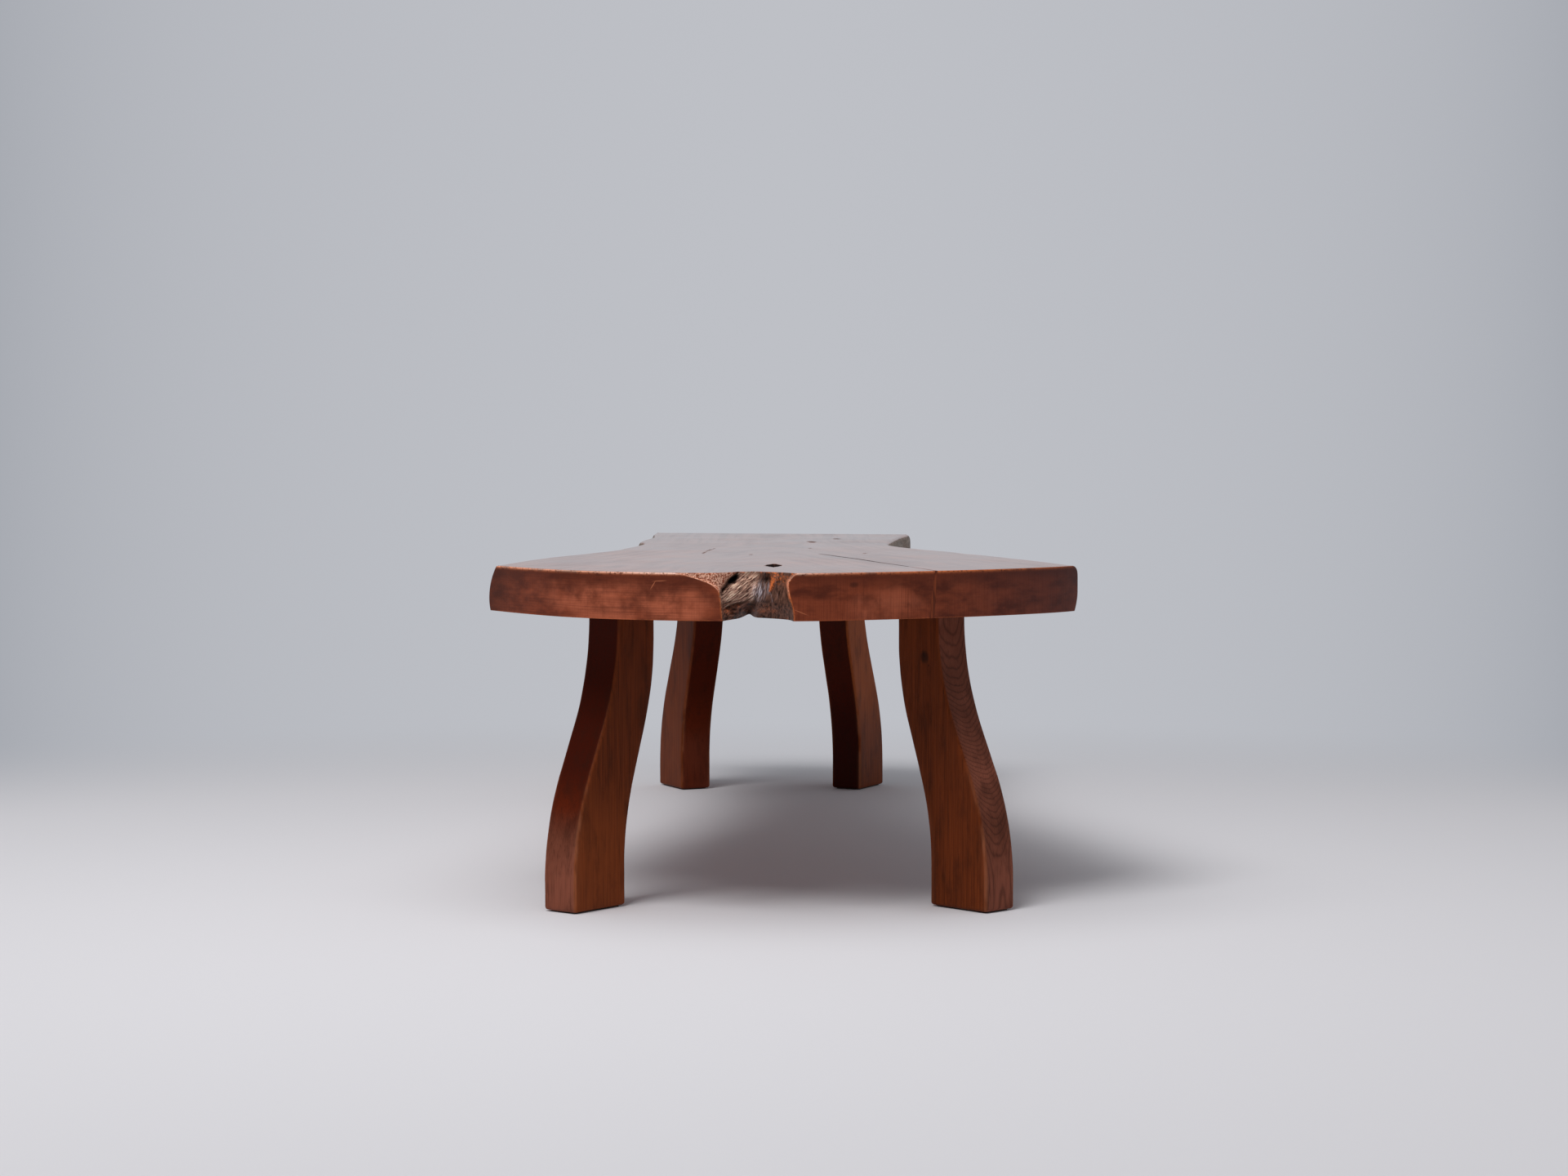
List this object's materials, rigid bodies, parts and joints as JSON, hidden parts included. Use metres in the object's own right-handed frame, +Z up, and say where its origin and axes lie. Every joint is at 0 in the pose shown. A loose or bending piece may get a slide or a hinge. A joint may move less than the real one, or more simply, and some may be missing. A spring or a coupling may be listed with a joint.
{
  "type": "live-edge slab coffee table",
  "caption": "Low table with one live-edged crotch slab, a bark hollow in its forked wide end, and splayed S-curved legs tenoned into it.",
  "frame": {"origin": "on the floor below the middle of the slab's bounding box", "axes": "+X to the right of the wide, forked end as seen from in front of it; +Y along the slab from the wide end to the narrow end; +Z up"},
  "size_m": [0.7023, 1.5412, 0.4],
  "materials": {
    "slab_wood": "satin",
    "leg_wood": "satin",
    "spline_wood": "satin",
    "felt": "matte"
  },
  "bodies": {
    "root": {"slab_top": "slab_wood", "crack_spline": "spline_wood", "near_left_leg": "leg_wood", "near_left_fox_wedge": "spline_wood", "near_left_foot_pad": "felt", "near_right_leg": "leg_wood", "near_right_fox_wedge": "spline_wood", "near_right_foot_pad": "felt", "far_left_leg": "leg_wood", "far_left_fox_wedge": "spline_wood", "far_left_foot_pad": "felt", "far_right_leg": "leg_wood", "far_right_fox_wedge": "spline_wood", "far_right_foot_pad": "felt"}
  },
  "joints": []
}
